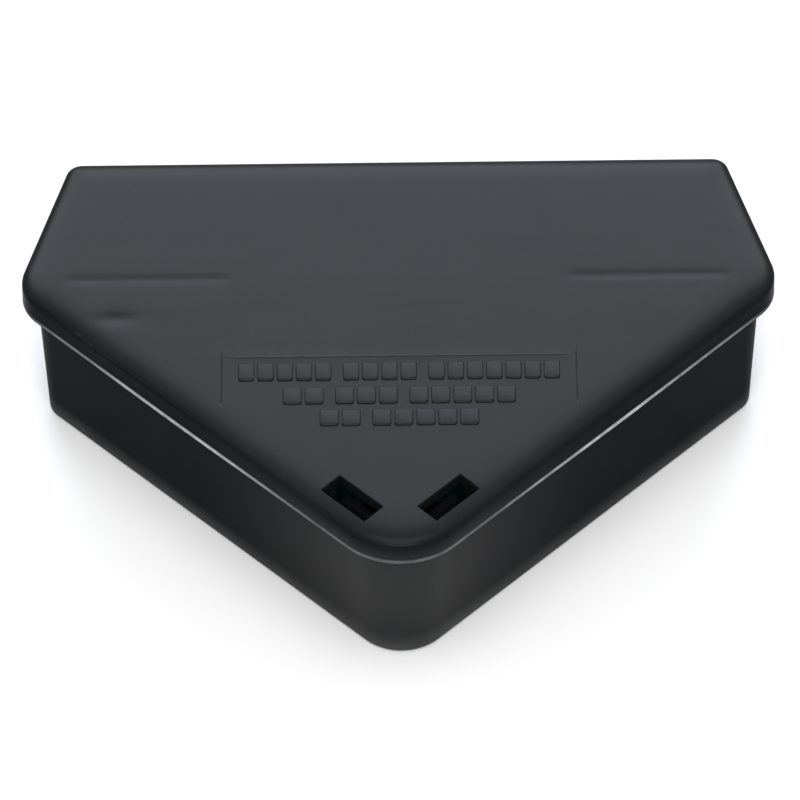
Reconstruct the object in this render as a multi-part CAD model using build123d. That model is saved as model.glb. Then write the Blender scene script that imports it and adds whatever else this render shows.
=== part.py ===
from build123d import *
from math import radians, sqrt, tan
import os

# Mouse bait station: a moulded base tray with a hinged, key-locked lid.
# Millimetres. +Z up, floor at Z = 0, the hinge at +Y, the pointed front at -Y.

# ---- plan outline of the lid, as sharp corners before rounding ----
SIDE_HALF = 76.25      # half-width between the two side corners
SIDE_Y = 16.0          # where the side corners stand
BACK_HALF = 65.7       # half-width at the back edge
BACK_Y = 51.0          # back edge of the lid
APEX_Y = SIDE_Y - SIDE_HALF   # front corner: both front walls run at 45 degrees
FRONT_R = 14.8
SIDE_R = 10.0
BACK_R = 3.4
MIN_R = 1.2

# ---- heights ----
SKIRT_Z = 31.1         # bottom edge of the lid's skirt
SHOULDER_Z = 36.2      # top of the skirt's rounded shoulder
TOP_Z = 36.9           # crown of the lid
PLATE_Z = 34.5         # underside of the lid's plate
SHOULDER_R = 1.2
CROWN_START = 0.9      # the crown rises from this far inside the lid's edge
CROWN_END = 5.6        # and is level from here inward
SKIRT_T = 2.2          # skirt thickness

# ---- base walls ----
WALL_INSET = 3.0       # the base wall's outside, in from the lid's edge, at SKIRT_Z
DRAFT = 3.0            # degrees
WALL_T = 1.8
FLOOR_T = 2.0
BASE_TOP = 34.2
FOOT_R = 1.1           # rounding of the foot

# ---- entries and baffles ----
ENTRY_Y = 33.3
ENTRY_W = 22.0
ENTRY_SILL = 3.4
ENTRY_TOP = 24.4
ENTRY_R = 6.0
ENTRY_EASE = 0.5
BAFFLE_Y = 17.9
BAFFLE_T = 1.6
BAFFLE_X = 33.0
BAFFLE_TOP = 30.0
RIB_T = 1.4
SILL_TOP = 5.0         # low sill between the two baffles

# ---- hinge ----
KNUCKLE_R = 2.6
PIN_R = 1.2
PIN_CLEAR = 0.05
HINGE_Z = 28.0
FRONT_REACH = -(APEX_Y + FRONT_R * (sqrt(2) - 1))
HINGE_Y = FRONT_REACH - KNUCKLE_R
LUG_X = 27.0           # inner face of the inner lug
LUG_W = 5.0
KNUCKLE_W = 15.4
HINGE_GAP = 0.3
PIN_HEAD_R = 2.1
PIN_HEAD_T = 1.4

# ---- key slots and latches, placed at 45 degrees, V inward from the front wall ----
SLOT_X = 9.44
SLOT_Y = -42.1
SLOT_HALF_L = 5.95
SLOT_HALF_W = 2.88
SLOT_BACK = 0.25       # how far the slot lies behind the latch it serves
BAR_HALF = 7.4         # catch bar under the lid
BAR_V0 = 0.1
BAR_V1 = 1.9
BAR_Z0 = 22.3
BAR_Z1 = 24.5
LEG_T = 1.2
BLADE_V = 2.3
BLADE_T = 1.8
BLADE_HALF = 5.0
NOSE_V = 0.4
NOSE_Z = 24.9
LATCH_TOP = 31.0
PIVOT_V = BLADE_V + BLADE_T / 2
PIVOT_Z = 4.8
BARREL_R = 1.9
TRUNNION_R = 1.2
TONGUE_L = 6.2
TONGUE_HALF = 2.2
CHEEK_GAP = 0.3
CHEEK_T = 1.7
CHEEK_TOP = 8.0

# ---- bait rods and blocks ----
ROD_X = 20.0
ROD_Y = -2.0
ROD_R = 2.0
ROD_FOOT = 1.0
ROD_TOP = 33.4
SOCKET_R = 6.5
SOCKET_TOP = 5.0
BLOCK = 28.0
BLOCK_Z = 5.3
BLOCK_H = 22.0
BLOCK_HOLE_R = 4.2
BLOCK_R = 3.5
FLUTE_R = 1.3

# ---- anchor holes and the rows of plain raised tiles on the lid ----
ANCHOR_X = 30.0
ANCHOR_Y = 33.3
ANCHOR_R = 2.2
TILE_RISE = 0.35
TILE_GAP = 0.6
GROUP_GAP = 2.3
TILE_ROWS = [           # middle Y, tile depth, row width, tiles in each group
    (-7.9, 4.6, 63.6, (5, 4, 7)),
    (-14.4, 4.4, 46.0, (2, 3, 5)),
    (-20.4, 4.2, 31.4, (2, 5)),
]


def meet(n1, c1, n2, c2):
    """Point where two lines, each given by its normal and distance, cross."""
    det = n1[0] * n2[1] - n1[1] * n2[0]
    x = (c1 * n2[1] - c2 * n1[1]) / det
    y = (n1[0] * c2 - n2[0] * c1) / det
    return (x, y)


def plan(inset, z):
    """The lid's five-sided plan, moved in by inset, as a face at height z."""
    run = sqrt((SIDE_HALF - BACK_HALF) ** 2 + (BACK_Y - SIDE_Y) ** 2)
    n_front = (sqrt(0.5), -sqrt(0.5))
    n_side = ((BACK_Y - SIDE_Y) / run, (SIDE_HALF - BACK_HALF) / run)
    n_back = (0.0, 1.0)
    c_front = -APEX_Y * sqrt(0.5) - inset
    c_side = n_side[0] * SIDE_HALF + n_side[1] * SIDE_Y - inset
    c_back = BACK_Y - inset
    apex = (0.0, -c_front * sqrt(2))
    side = meet(n_front, c_front, n_side, c_side)
    back = meet(n_side, c_side, n_back, c_back)
    pts = [apex, side, back, (-back[0], back[1]), (-side[0], side[1])]
    radii = [FRONT_R, SIDE_R, BACK_R, BACK_R, SIDE_R]
    radii = [max(r - inset, MIN_R) for r in radii]
    face = make_face(FilletPolyline(*pts, radius=radii, close=True))
    return Pos(0, 0, z) * face


def wall_inset(z):
    """How far the base wall's outside stands in from the lid's edge at height z."""
    return WALL_INSET + (SKIRT_Z - z) * tan(radians(DRAFT))


def block(x0, x1, y0, y1, z0, z1):
    """Box between two corners."""
    size = Box(x1 - x0, y1 - y0, z1 - z0)
    return Pos((x0 + x1) / 2, (y0 + y1) / 2, (z0 + z1) / 2) * size


def rod_x(radius, x0, x1, y, z):
    """Round bar along X."""
    bar = Rot(0, 90, 0) * Cylinder(radius, x1 - x0)
    return Pos((x0 + x1) / 2, y, z) * bar


def side_profile(points, x0, x1):
    """Prism along X from a closed profile of (y, z) points."""
    face = make_face(Polyline(*[(0, y, z) for y, z in points], close=True))
    prism = extrude(face, amount=x1 - x0, dir=(1, 0, 0))
    return Pos(x0, 0, 0) * prism


def at_slot(hand, part):
    """Carry a part from its own axes to a key slot: X along the wall, Y inward."""
    return Pos(hand * SLOT_X, SLOT_Y, 0) * Rot(0, 0, 45 * hand) * part


def base_shell():
    """Drafted outer wall, floor and open top."""
    low = plan(wall_inset(0), 0)
    top = plan(wall_inset(BASE_TOP), BASE_TOP)
    outer = loft([low, top], ruled=True)
    outer = fillet(outer.faces().sort_by(Axis.Z)[0].edges(), FOOT_R)
    floor = plan(wall_inset(FLOOR_T) + WALL_T, FLOOR_T)
    rim = plan(wall_inset(BASE_TOP + 1) + WALL_T, BASE_TOP + 1)
    return outer, outer - loft([floor, rim], ruled=True)


def entry_cutter(hand):
    """Rounded mouse hole through a short side wall."""
    height = ENTRY_TOP - ENTRY_SILL
    where = Plane(origin=(0, ENTRY_Y, ENTRY_SILL + height / 2), x_dir=(0, 1, 0), z_dir=(1, 0, 0))
    hole = extrude(where * RectangleRounded(ENTRY_W, height, ENTRY_R), amount=22)
    start = 56 if hand > 0 else -78
    return Pos(start, 0, 0) * hole


def ease_entries(tray):
    """Round the edges of both mouse holes, inside and out."""
    rim = []
    for edge in tray.edges():
        middle = edge @ 0.5
        near = abs(middle.Y - ENTRY_Y) < ENTRY_W / 2 + 0.2
        level = ENTRY_SILL - 0.2 < middle.Z < ENTRY_TOP + 0.2
        across = abs((edge % 0.5).X) < 0.5
        if abs(middle.X) > 58 and near and level and across:
            rim.append(edge)
    return fillet(rim, ENTRY_EASE)


def baffle(hand, outer):
    """Upright wall between the run and the bait chamber, with a rounded free end."""
    wall = block(BAFFLE_X, SIDE_HALF, -BAFFLE_T / 2, BAFFLE_T / 2, FLOOR_T / 2, BAFFLE_TOP)
    height = BAFFLE_TOP - FLOOR_T / 2
    end = Pos(BAFFLE_X, 0, FLOOR_T / 2 + height / 2) * Cylinder(BAFFLE_T, height)
    part = Pos(0, BAFFLE_Y, 0) * (wall + end)
    if hand < 0:
        part = mirror(part, Plane.YZ)
    return part & outer


def hinge_lug(x0, x1):
    """Bracket on the back wall that holds one end of a hinge pin."""
    slant = KNUCKLE_R * sqrt(0.5)
    wall_y = BACK_Y - wall_inset(HINGE_Z) - WALL_T / 2
    corner = (HINGE_Y + slant, HINGE_Z - slant)
    foot_z = corner[1] - (corner[0] - wall_y)
    profile = [
        (wall_y, HINGE_Z + KNUCKLE_R),
        (HINGE_Y, HINGE_Z + KNUCKLE_R),
        (HINGE_Y, HINGE_Z),
        corner,
        (wall_y, foot_z),
    ]
    web = side_profile(profile, x0, x1)
    return web + rod_x(KNUCKLE_R, x0, x1, HINGE_Y, HINGE_Z)


def hinge_spans(hand):
    """X ranges of the inner lug, the knuckle and the outer lug."""
    inner = (LUG_X, LUG_X + LUG_W)
    knuckle = (inner[1] + HINGE_GAP, inner[1] + HINGE_GAP + KNUCKLE_W)
    outer = (knuckle[1] + HINGE_GAP, knuckle[1] + HINGE_GAP + LUG_W)
    spans = [inner, knuckle, outer]
    if hand < 0:
        spans = [(-b, -a) for a, b in spans]
    return spans


def latch_cheeks(hand):
    """Two upright ears that carry a latch, and the pad it rests against."""
    parts = []
    for end in (-1, 1):
        middle = end * (BLADE_HALF + CHEEK_GAP + CHEEK_T / 2)
        ear = block(middle - CHEEK_T / 2, middle + CHEEK_T / 2, PIVOT_V - 2.2, PIVOT_V + 2.2,
                    FLOOR_T / 2, CHEEK_TOP - 1)
        ear += Pos(middle, PIVOT_V, CHEEK_TOP - 1) * Rot(0, 90, 0) * Cylinder(2.2, CHEEK_T)
        hole = Pos(middle, PIVOT_V, PIVOT_Z) * Rot(0, 90, 0) * Cylinder(TRUNNION_R + PIN_CLEAR, CHEEK_T * 2)
        parts.append(ear - hole)
    pad = block(-2.5, 2.5, -1.2, BLADE_V - 0.3, 9, 14)
    return at_slot(hand, parts[0]), at_slot(hand, parts[1]), at_slot(hand, pad)


def rod_socket(hand):
    """Round boss on the floor that a bait rod stands in."""
    height = SOCKET_TOP - FLOOR_T / 2
    return Pos(hand * ROD_X, ROD_Y, FLOOR_T / 2 + height / 2) * Cylinder(SOCKET_R, height)


def base_tray():
    """Moulded tray: walls, floor, entries, baffles, hinge lugs, latch ears and sockets."""
    outer, tray = base_shell()
    tray += block(-BAFFLE_X, BAFFLE_X, BAFFLE_Y - 0.8, BAFFLE_Y + 0.8, FLOOR_T / 2, SILL_TOP)
    for hand in (-1, 1):
        tray += baffle(hand, outer)
        inner, knuckle, far = hinge_spans(hand)
        for span in (inner, far):
            tray += hinge_lug(*span)
            tray -= rod_x(PIN_R, span[0] - 0.1, span[1] + 0.1, HINGE_Y, HINGE_Z)
        for piece in latch_cheeks(hand):
            tray += piece
        tray += rod_socket(hand)
        depth = SOCKET_TOP + 1 - ROD_FOOT
        tray -= Pos(hand * ROD_X, ROD_Y, ROD_FOOT + depth / 2) * Cylinder(ROD_R, depth)
        tray -= Pos(hand * ANCHOR_X, ANCHOR_Y, 0) * Cylinder(ANCHOR_R, 4 * FLOOR_T)
        tray -= entry_cutter(hand)
        notch = block(-6.8, 6.8, -4.0, -1.0, SKIRT_Z + 0.2, BASE_TOP + 1)
        tray -= at_slot(hand, notch)
    return ease_entries(tray)


def lid_shell():
    """Skirted plate with a rounded shoulder and a softly raised crown."""
    cap = extrude(plan(0, SKIRT_Z), amount=SHOULDER_Z - SKIRT_Z, dir=(0, 0, 1))
    rim = cap.faces().sort_by(Axis.Z)[-1].edges()
    cap = fillet(rim, SHOULDER_R)
    crown = loft([plan(CROWN_START, SHOULDER_Z - 0.05), plan(CROWN_END, TOP_Z)], ruled=True)
    cap += crown
    return cap - extrude(plan(SKIRT_T, SKIRT_Z - 1), amount=PLATE_Z - SKIRT_Z + 1, dir=(0, 0, 1))


def catch_bar(hand):
    """Bar on two legs under a key slot, which the latch's nose holds down."""
    bar = block(-BAR_HALF, BAR_HALF, BAR_V0, BAR_V1, BAR_Z0, BAR_Z1)
    for end in (-1, 1):
        middle = end * (BAR_HALF - LEG_T / 2)
        bar += block(middle - LEG_T / 2, middle + LEG_T / 2, BAR_V0, BAR_V1 + 0.5,
                     BAR_Z0, PLATE_Z + 0.5)
    return at_slot(hand, bar)


def lid_knuckle(hand):
    """Barrel under the back skirt that turns on a hinge pin."""
    x0, x1 = hinge_spans(hand)[1]
    slant = KNUCKLE_R * sqrt(0.5)
    near_y = HINGE_Y - KNUCKLE_R
    out_y = HINGE_Y + slant
    profile = [
        (near_y, HINGE_Z),
        (HINGE_Y, HINGE_Z),
        (out_y, HINGE_Z + slant),
        (BACK_Y, HINGE_Z + slant + out_y - BACK_Y),
        (BACK_Y - SKIRT_T / 2, HINGE_Z + slant + out_y - BACK_Y),
        (near_y, SKIRT_Z + 0.6),
    ]
    barrel = side_profile(profile, x0, x1) + rod_x(KNUCKLE_R, x0, x1, HINGE_Y, HINGE_Z)
    return barrel, rod_x(PIN_R + PIN_CLEAR, x0 - 0.1, x1 + 0.1, HINGE_Y, HINGE_Z)


def tile_row(middle_y, depth, width, groups):
    """One row of plain raised tiles, with a wider gap between groups."""
    breaks = len(groups) - 1
    tile = (width - TILE_GAP * (sum(groups) - 1 - breaks) - GROUP_GAP * breaks) / sum(groups)
    tiles = []
    x = -width / 2
    for count in groups:
        for _ in range(count):
            tiles.append(block(x, x + tile, middle_y - depth / 2, middle_y + depth / 2,
                               TOP_Z - 0.4, TOP_Z + TILE_RISE))
            x += tile + TILE_GAP
        x += GROUP_GAP - TILE_GAP
    return tiles


def lid():
    """Lid with key slots, catch bars, hinge knuckles, sealing ribs and raised tiles."""
    part = lid_shell()
    for hand in (-1, 1):
        slot = block(-SLOT_HALF_L, SLOT_HALF_L, -SLOT_HALF_W, SLOT_HALF_W, PLATE_Z - 1, TOP_Z + 1)
        part -= Pos(0, SLOT_BACK, 0) * at_slot(hand, slot)
        part += catch_bar(hand)
        barrel, bore = lid_knuckle(hand)
        part += barrel
        part -= bore
        rib_x = sorted([hand * (BAFFLE_X + 0.6), hand * 66.0])
        part += block(rib_x[0], rib_x[1], BAFFLE_Y - RIB_T / 2, BAFFLE_Y + RIB_T / 2,
                      BAFFLE_TOP + 0.5, PLATE_Z + 0.5)
    for row in TILE_ROWS:
        for tile in tile_row(*row):
            part += tile
    return part


def hinge_pin(hand):
    """Headed steel pin, pushed in from the outer side."""
    inner, knuckle, far = hinge_spans(1)
    pin = rod_x(PIN_R, inner[0] - 0.6, far[1], HINGE_Y, HINGE_Z)
    pin += rod_x(PIN_HEAD_R, far[1], far[1] + PIN_HEAD_T, HINGE_Y, HINGE_Z)
    pin = fillet(pin.faces().sort_by(Axis.X)[-1].edges(), 0.5)
    return pin if hand > 0 else mirror(pin, Plane.YZ)


def latch(hand):
    """Upright finger with a hooked nose, a round foot and a return tongue."""
    finger = block(-BLADE_HALF, BLADE_HALF, BLADE_V, BLADE_V + BLADE_T, PIVOT_Z, LATCH_TOP)
    nose = [(BLADE_V + 0.5, NOSE_Z), (NOSE_V, NOSE_Z), (NOSE_V, NOSE_Z + 1.5),
            (BLADE_V, LATCH_TOP), (BLADE_V + 0.5, LATCH_TOP)]
    tip = PIVOT_V + TONGUE_L
    tongue = [(PIVOT_V, PIVOT_Z + 1.0), (tip, PIVOT_Z - 0.1), (tip, PIVOT_Z - 1.0), (PIVOT_V, PIVOT_Z - 0.8)]
    finger += side_profile(nose, -BLADE_HALF, BLADE_HALF)
    finger += side_profile(tongue, -TONGUE_HALF, TONGUE_HALF)
    finger += rod_x(BARREL_R, -BLADE_HALF, BLADE_HALF, PIVOT_V, PIVOT_Z)
    reach = BLADE_HALF + CHEEK_GAP + CHEEK_T - 0.3
    finger += rod_x(TRUNNION_R, -reach, reach, PIVOT_V, PIVOT_Z)
    return at_slot(hand, finger)


def bait_rod(hand):
    """Steel rod standing in its socket, with a bevelled tip."""
    rod = Cylinder(ROD_R, ROD_TOP - ROD_FOOT)
    rod = chamfer(rod.faces().sort_by(Axis.Z)[-1].edges(), 0.6)
    return Pos(hand * ROD_X, ROD_Y, (ROD_TOP + ROD_FOOT) / 2) * rod


def bait_block(hand):
    """Square bait block with fluted sides and a round hole."""
    body = extrude(RectangleRounded(BLOCK, BLOCK, BLOCK_R), amount=BLOCK_H)
    body = chamfer(body.faces().sort_by(Axis.Z)[-1].edges(), 0.8)
    body = chamfer(body.faces().sort_by(Axis.Z)[0].edges(), 0.8)
    body -= Pos(0, 0, BLOCK_H / 2) * Cylinder(BLOCK_HOLE_R, BLOCK_H * 2)
    for turn in (0, 90, 180, 270):
        for step in (-1, 0, 1):
            flute = Pos(BLOCK / 2 + 0.2, step * BLOCK / 4, BLOCK_H / 2) * Cylinder(FLUTE_R, BLOCK_H * 2)
            body -= Rot(0, 0, turn) * flute
    return Pos(hand * ROD_X, ROD_Y, BLOCK_Z) * body


def save(name, part):
    """Write one sub-part and print its size."""
    solids = part.solids()
    box = part.bounding_box()
    print(name, len(solids), "solid", round(part.volume, 1), box.min, box.max)
    export_step(Compound(children=solids) if len(solids) > 1 else solids[0], "parts/" + name + ".step")


def main():
    """Build every sub-part and write its STEP file."""
    os.makedirs("parts", exist_ok=True)
    save("base_tray", base_tray())
    save("lid", lid())
    for hand, word in ((-1, "left"), (1, "right")):
        save("hinge_pin_" + word, hinge_pin(hand))
        save("latch_" + word, latch(hand))
        save("bait_rod_" + word, bait_rod(hand))
        save("bait_block_" + word, bait_block(hand))


main()
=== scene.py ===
import logging
import math
from dataclasses import dataclass, field
from enum import Enum
from typing import Callable, Sequence

import bmesh
import bpy
import numpy as np
from mathutils import Matrix, Vector
from mathutils.geometry import delaunay_2d_cdt


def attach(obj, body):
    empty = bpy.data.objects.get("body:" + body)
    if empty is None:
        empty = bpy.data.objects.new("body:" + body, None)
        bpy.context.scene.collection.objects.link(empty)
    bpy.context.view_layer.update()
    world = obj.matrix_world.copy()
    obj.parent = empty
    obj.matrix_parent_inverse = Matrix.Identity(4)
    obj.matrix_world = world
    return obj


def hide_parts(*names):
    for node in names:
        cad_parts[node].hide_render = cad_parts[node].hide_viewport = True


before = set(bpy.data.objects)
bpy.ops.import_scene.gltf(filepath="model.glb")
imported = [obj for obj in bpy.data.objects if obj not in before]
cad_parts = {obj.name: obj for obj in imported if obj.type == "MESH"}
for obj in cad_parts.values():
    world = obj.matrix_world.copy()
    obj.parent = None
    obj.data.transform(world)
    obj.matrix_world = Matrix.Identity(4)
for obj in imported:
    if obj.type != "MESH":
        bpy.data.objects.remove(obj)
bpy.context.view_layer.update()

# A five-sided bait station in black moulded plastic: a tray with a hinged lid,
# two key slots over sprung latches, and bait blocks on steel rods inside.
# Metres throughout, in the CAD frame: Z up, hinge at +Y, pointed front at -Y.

MM = 0.001
WELD = 1e-7        # points nearer than this are one point
CLOSE = 1e-6       # points nearer than this, in millimetres, are one point of a sheet
SLIVER = 1e-6      # triangles thinner than this share of their length are left out
NOSE = (0.0, -56.0 * MM, 18.0 * MM)     # middle of the front corner's rounded wall
LOG = logging.getLogger("bait_station")


class Hand(Enum):
    """Which half of the station a piece belongs to."""

    LEFT = -1
    RIGHT = 1

    @property
    def word(self) -> str:
        """The word that ends this half's piece names."""
        return self.name.lower()


class Grain(Enum):
    """Direction that a drawn metal surface is brushed in."""

    ALONG_X = (4.0, 900.0, 900.0)
    ALONG_Z = (900.0, 900.0, 4.0)


# --------------------------------------------------------------------------
# Finishes
# --------------------------------------------------------------------------


class NodeBench:
    """Short calls for wiring a material's nodes."""

    def __init__(self, name: str) -> None:
        """Start an empty material with a Principled shader.

        Args:
            name: name of the material.
        """
        self.material = bpy.data.materials.new(name)
        self.material.use_nodes = True
        self.tree = self.material.node_tree
        self.tree.nodes.clear()
        self.shader = self.tree.nodes.new("ShaderNodeBsdfPrincipled")
        out = self.tree.nodes.new("ShaderNodeOutputMaterial")
        self.tree.links.new(self.shader.outputs["BSDF"], out.inputs["Surface"])
        self.place = self.tree.nodes.new("ShaderNodeTexCoord").outputs["Object"]

    def link(self, source: bpy.types.NodeSocket, target: bpy.types.NodeSocket) -> None:
        """Join an output socket to an input socket."""
        self.tree.links.new(source, target)

    def mapping(self, scale: Sequence[float], turn: Sequence[float] = (0, 0, 0)) -> bpy.types.NodeSocket:
        """Scale and turn the object coordinates.

        Args:
            scale: factor along each axis.
            turn: rotation about each axis, in radians.

        Returns:
            The socket that carries the new coordinates.
        """
        node = self.tree.nodes.new("ShaderNodeMapping")
        node.inputs["Scale"].default_value = tuple(scale)
        node.inputs["Rotation"].default_value = tuple(turn)
        self.link(self.place, node.inputs["Vector"])
        return node.outputs["Vector"]

    def noise(self, scale: float, detail: float = 2.0, rough: float = 0.5,
              vector: bpy.types.NodeSocket | None = None) -> bpy.types.NodeSocket:
        """Add a noise pattern.

        Args:
            scale: cells per metre.
            detail: octaves of finer noise.
            rough: strength of the finer octaves.
            vector: coordinates to use instead of the object coordinates.

        Returns:
            The socket that carries its factor.
        """
        node = self.tree.nodes.new("ShaderNodeTexNoise")
        node.inputs["Scale"].default_value = scale
        node.inputs["Detail"].default_value = detail
        node.inputs["Roughness"].default_value = rough
        self.link(vector or self.place, node.inputs["Vector"])
        return node.outputs["Fac"]

    def cells(self, scale: float, output: str = "Distance") -> bpy.types.NodeSocket:
        """Add a cell pattern.

        Args:
            scale: cells per metre.
            output: which of its outputs is wanted.

        Returns:
            The socket of that output.
        """
        node = self.tree.nodes.new("ShaderNodeTexVoronoi")
        node.inputs["Scale"].default_value = scale
        self.link(self.place, node.inputs["Vector"])
        return node.outputs[output]

    def span(self, value: bpy.types.NodeSocket, low: float, high: float,
             to_low: float, to_high: float) -> bpy.types.NodeSocket:
        """Map a value from one range to another, clamped.

        Args:
            value: the value.
            low: start of its range.
            high: end of its range.
            to_low: what the start becomes.
            to_high: what the end becomes.

        Returns:
            The socket that carries the mapped value.
        """
        node = self.tree.nodes.new("ShaderNodeMapRange")
        for key, number in (("From Min", low), ("From Max", high), ("To Min", to_low), ("To Max", to_high)):
            node.inputs[key].default_value = number
        self.link(value, node.inputs["Value"])
        return node.outputs["Result"]

    def math(self, kind: str, a: bpy.types.NodeSocket,
             b: bpy.types.NodeSocket | float) -> bpy.types.NodeSocket:
        """Combine two values.

        Args:
            kind: name of the operation.
            a: first value.
            b: second value, or a plain number.

        Returns:
            The socket that carries the result.
        """
        node = self.tree.nodes.new("ShaderNodeMath")
        node.operation = kind
        self.link(a, node.inputs[0])
        if isinstance(b, (int, float)):
            node.inputs[1].default_value = b
        else:
            self.link(b, node.inputs[1])
        return node.outputs["Value"]

    def blend(self, factor: bpy.types.NodeSocket, a: Sequence[float] | bpy.types.NodeSocket,
              b: Sequence[float] | bpy.types.NodeSocket) -> bpy.types.NodeSocket:
        """Mix two colours by a factor.

        Args:
            factor: share of the second colour.
            a: first colour.
            b: second colour.

        Returns:
            The socket that carries the mixed colour.
        """
        node = self.tree.nodes.new("ShaderNodeMix")
        node.data_type = "RGBA"
        self.link(factor, node.inputs[0])
        for socket, colour in ((node.inputs[6], a), (node.inputs[7], b)):
            if isinstance(colour, bpy.types.NodeSocket):
                self.link(colour, socket)
            else:
                socket.default_value = (*colour[:3], 1.0)
        return node.outputs[2]

    def value(self, number: float) -> bpy.types.NodeSocket:
        """Add a plain number.

        Args:
            number: the number.

        Returns:
            The socket that carries it.
        """
        node = self.tree.nodes.new("ShaderNodeValue")
        node.outputs[0].default_value = number
        return node.outputs[0]

    def near(self, point: Sequence[float], inner: float, outer: float) -> bpy.types.NodeSocket:
        """Fall from 1 to 0 between two distances from a point.

        Args:
            point: the point, in metres.
            inner: distance up to which it is 1.
            outer: distance past which it is 0.

        Returns:
            The socket that carries the share.
        """
        node = self.tree.nodes.new("ShaderNodeVectorMath")
        node.operation = "DISTANCE"
        self.link(self.place, node.inputs[0])
        node.inputs[1].default_value = tuple(point)
        return self.span(node.outputs["Value"], inner, outer, 1.0, 0.0)

    def height(self) -> bpy.types.NodeSocket:
        """Read the height above the foot of the station.

        Returns:
            The socket that carries it, in metres.
        """
        node = self.tree.nodes.new("ShaderNodeSeparateXYZ")
        self.link(self.place, node.inputs["Vector"])
        return node.outputs["Z"]

    def attribute(self, name: str) -> bpy.types.NodeSocket:
        """Read a number painted on the mesh; it is 0 where there is none.

        Args:
            name: the attribute's name.

        Returns:
            The socket that carries the number.
        """
        node = self.tree.nodes.new("ShaderNodeAttribute")
        node.attribute_name = name
        return node.outputs["Fac"]

    def bump(self, height: bpy.types.NodeSocket, strength: float, distance: float,
             after: bpy.types.NodeSocket | None = None) -> bpy.types.NodeSocket:
        """Turn a height into a bent normal, on top of an earlier one.

        Args:
            height: the height pattern.
            strength: share of the full bend.
            distance: how tall the pattern is, in metres.
            after: an earlier bent normal.

        Returns:
            The socket that carries the new normal.
        """
        node = self.tree.nodes.new("ShaderNodeBump")
        node.inputs["Strength"].default_value = strength
        node.inputs["Distance"].default_value = distance
        self.link(height, node.inputs["Height"])
        if after is not None:
            self.link(after, node.inputs["Normal"])
        return node.outputs["Normal"]

    def set(self, **values: float) -> None:
        """Set constants on the shader.

        Args:
            values: socket names, with spaces as underscores, and their numbers.
        """
        for key, value in values.items():
            self.shader.inputs[key.replace("_", " ")].default_value = value


@dataclass(frozen=True)
class MouldedPlastic:
    """Satin black moulded plastic with a fine tool texture, flow marks, scuffed specks, a pale lip that is
    partly scuff and partly painted highlight, and painted floor-bounce light along the foot.
    """

    name: str
    deep: tuple[float, float, float] = (0.0058, 0.0062, 0.0070)
    pale: tuple[float, float, float] = (0.0080, 0.0085, 0.0094)
    # Pale colour of the random specks and of the lip, where it is partly scuff and partly a painted
    # highlight.
    scuff_and_highlight: tuple[float, float, float] = (0.38, 0.385, 0.39)
    # dust: pale colour of the painted floor-bounce light that lightens the foot.
    dust: tuple[float, float, float] = (0.060, 0.061, 0.062)
    gloss: tuple[float, float] = (0.26, 0.33)
    sheen: float = 0.285
    matte_sheen: float = 0.008
    nose_sheen: float = 0.45
    polish_roughness: float = 0.295
    # Height over which the painted floor-bounce light fades out.
    foot_light_to: float = 0.1 * MM
    always_matte: bool = False
    texture: float = 0.10

    def make(self) -> bpy.types.Material:
        """Build the material.

        Returns:
            The finished node material.
        """
        bench = NodeBench(self.name)
        cloud = bench.noise(55.0, 3.0, 0.55)
        flow = bench.noise(1.0, 3.0, 0.6, bench.mapping((14.0, 90.0, 30.0), (0, 0, 0.2)))
        fine = bench.noise(2600.0, 2.0, 0.6)
        speck = bench.span(bench.noise(1500.0, 1.0, 0.4), 0.71, 0.78, 0.0, 0.35)
        shade = bench.math("MULTIPLY", bench.math("ADD", cloud, flow), 0.5)
        colour = bench.blend(bench.span(shade, 0.35, 0.65, 0.0, 1.0), self.deep, self.pale)
        colour = bench.blend(bench.math("MULTIPLY", speck, 0.04), colour, self.scuff_and_highlight)
        patchy = bench.span(bench.noise(240.0, 3.0, 0.65), 0.32, 0.62, 0.55, 1.0)
        # Pale lip from the painted mask: partly scuff, partly a painted highlight along the lip's bright
        # line.
        pale_lip = bench.math("MULTIPLY", bench.attribute("edge_wear"), patchy)
        colour = bench.blend(pale_lip, colour, self.scuff_and_highlight)
        # Painted floor-bounce light: the pale dust colour is blended in, paler towards the foot.
        foot = bench.math("POWER", bench.span(bench.height(), 0.0, self.foot_light_to, 1.0, 0.0), 1.3)
        foot = bench.math("MULTIPLY", foot, bench.span(cloud, 0.3, 0.6, 0.55, 1.0))
        bench.link(bench.blend(foot, colour, self.dust), bench.shader.inputs["Base Color"])
        self.polish(bench)
        rough = bench.span(shade, 0.3, 0.7, *self.gloss)
        bench.link(rough, bench.shader.inputs["Roughness"])
        skin = bench.bump(fine, self.texture, 0.00012)
        soft = bench.bump(flow, 0.05, 0.0006, skin)
        bench.link(soft, bench.shader.inputs["Normal"])
        bench.link(soft, bench.shader.inputs["Coat Normal"])
        bench.set(IOR=1.49, Specular_IOR_Level=self.matte_sheen, Coat_IOR=1.49,
                  Coat_Roughness=self.polish_roughness)
        return bench.material

    def polish(self, bench: NodeBench) -> None:
        """Set the sheen: satin above, matte on the sides, burnished towards the nose.

        Args:
            bench: the material being wired.
        """
        matte = bench.value(1.0) if self.always_matte else bench.attribute("matte")
        nose = bench.math("POWER", bench.near(NOSE, 8 * MM, 62 * MM), 1.9)
        handled = bench.value(1.0) if self.always_matte else bench.attribute("handled")
        burnish = bench.math("MULTIPLY", bench.math("MULTIPLY", nose, handled), self.nose_sheen)
        plain = bench.span(matte, 0.0, 1.0, self.sheen, 0.0)
        bench.link(bench.math("ADD", plain, burnish), bench.shader.inputs["Coat Weight"])


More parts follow.
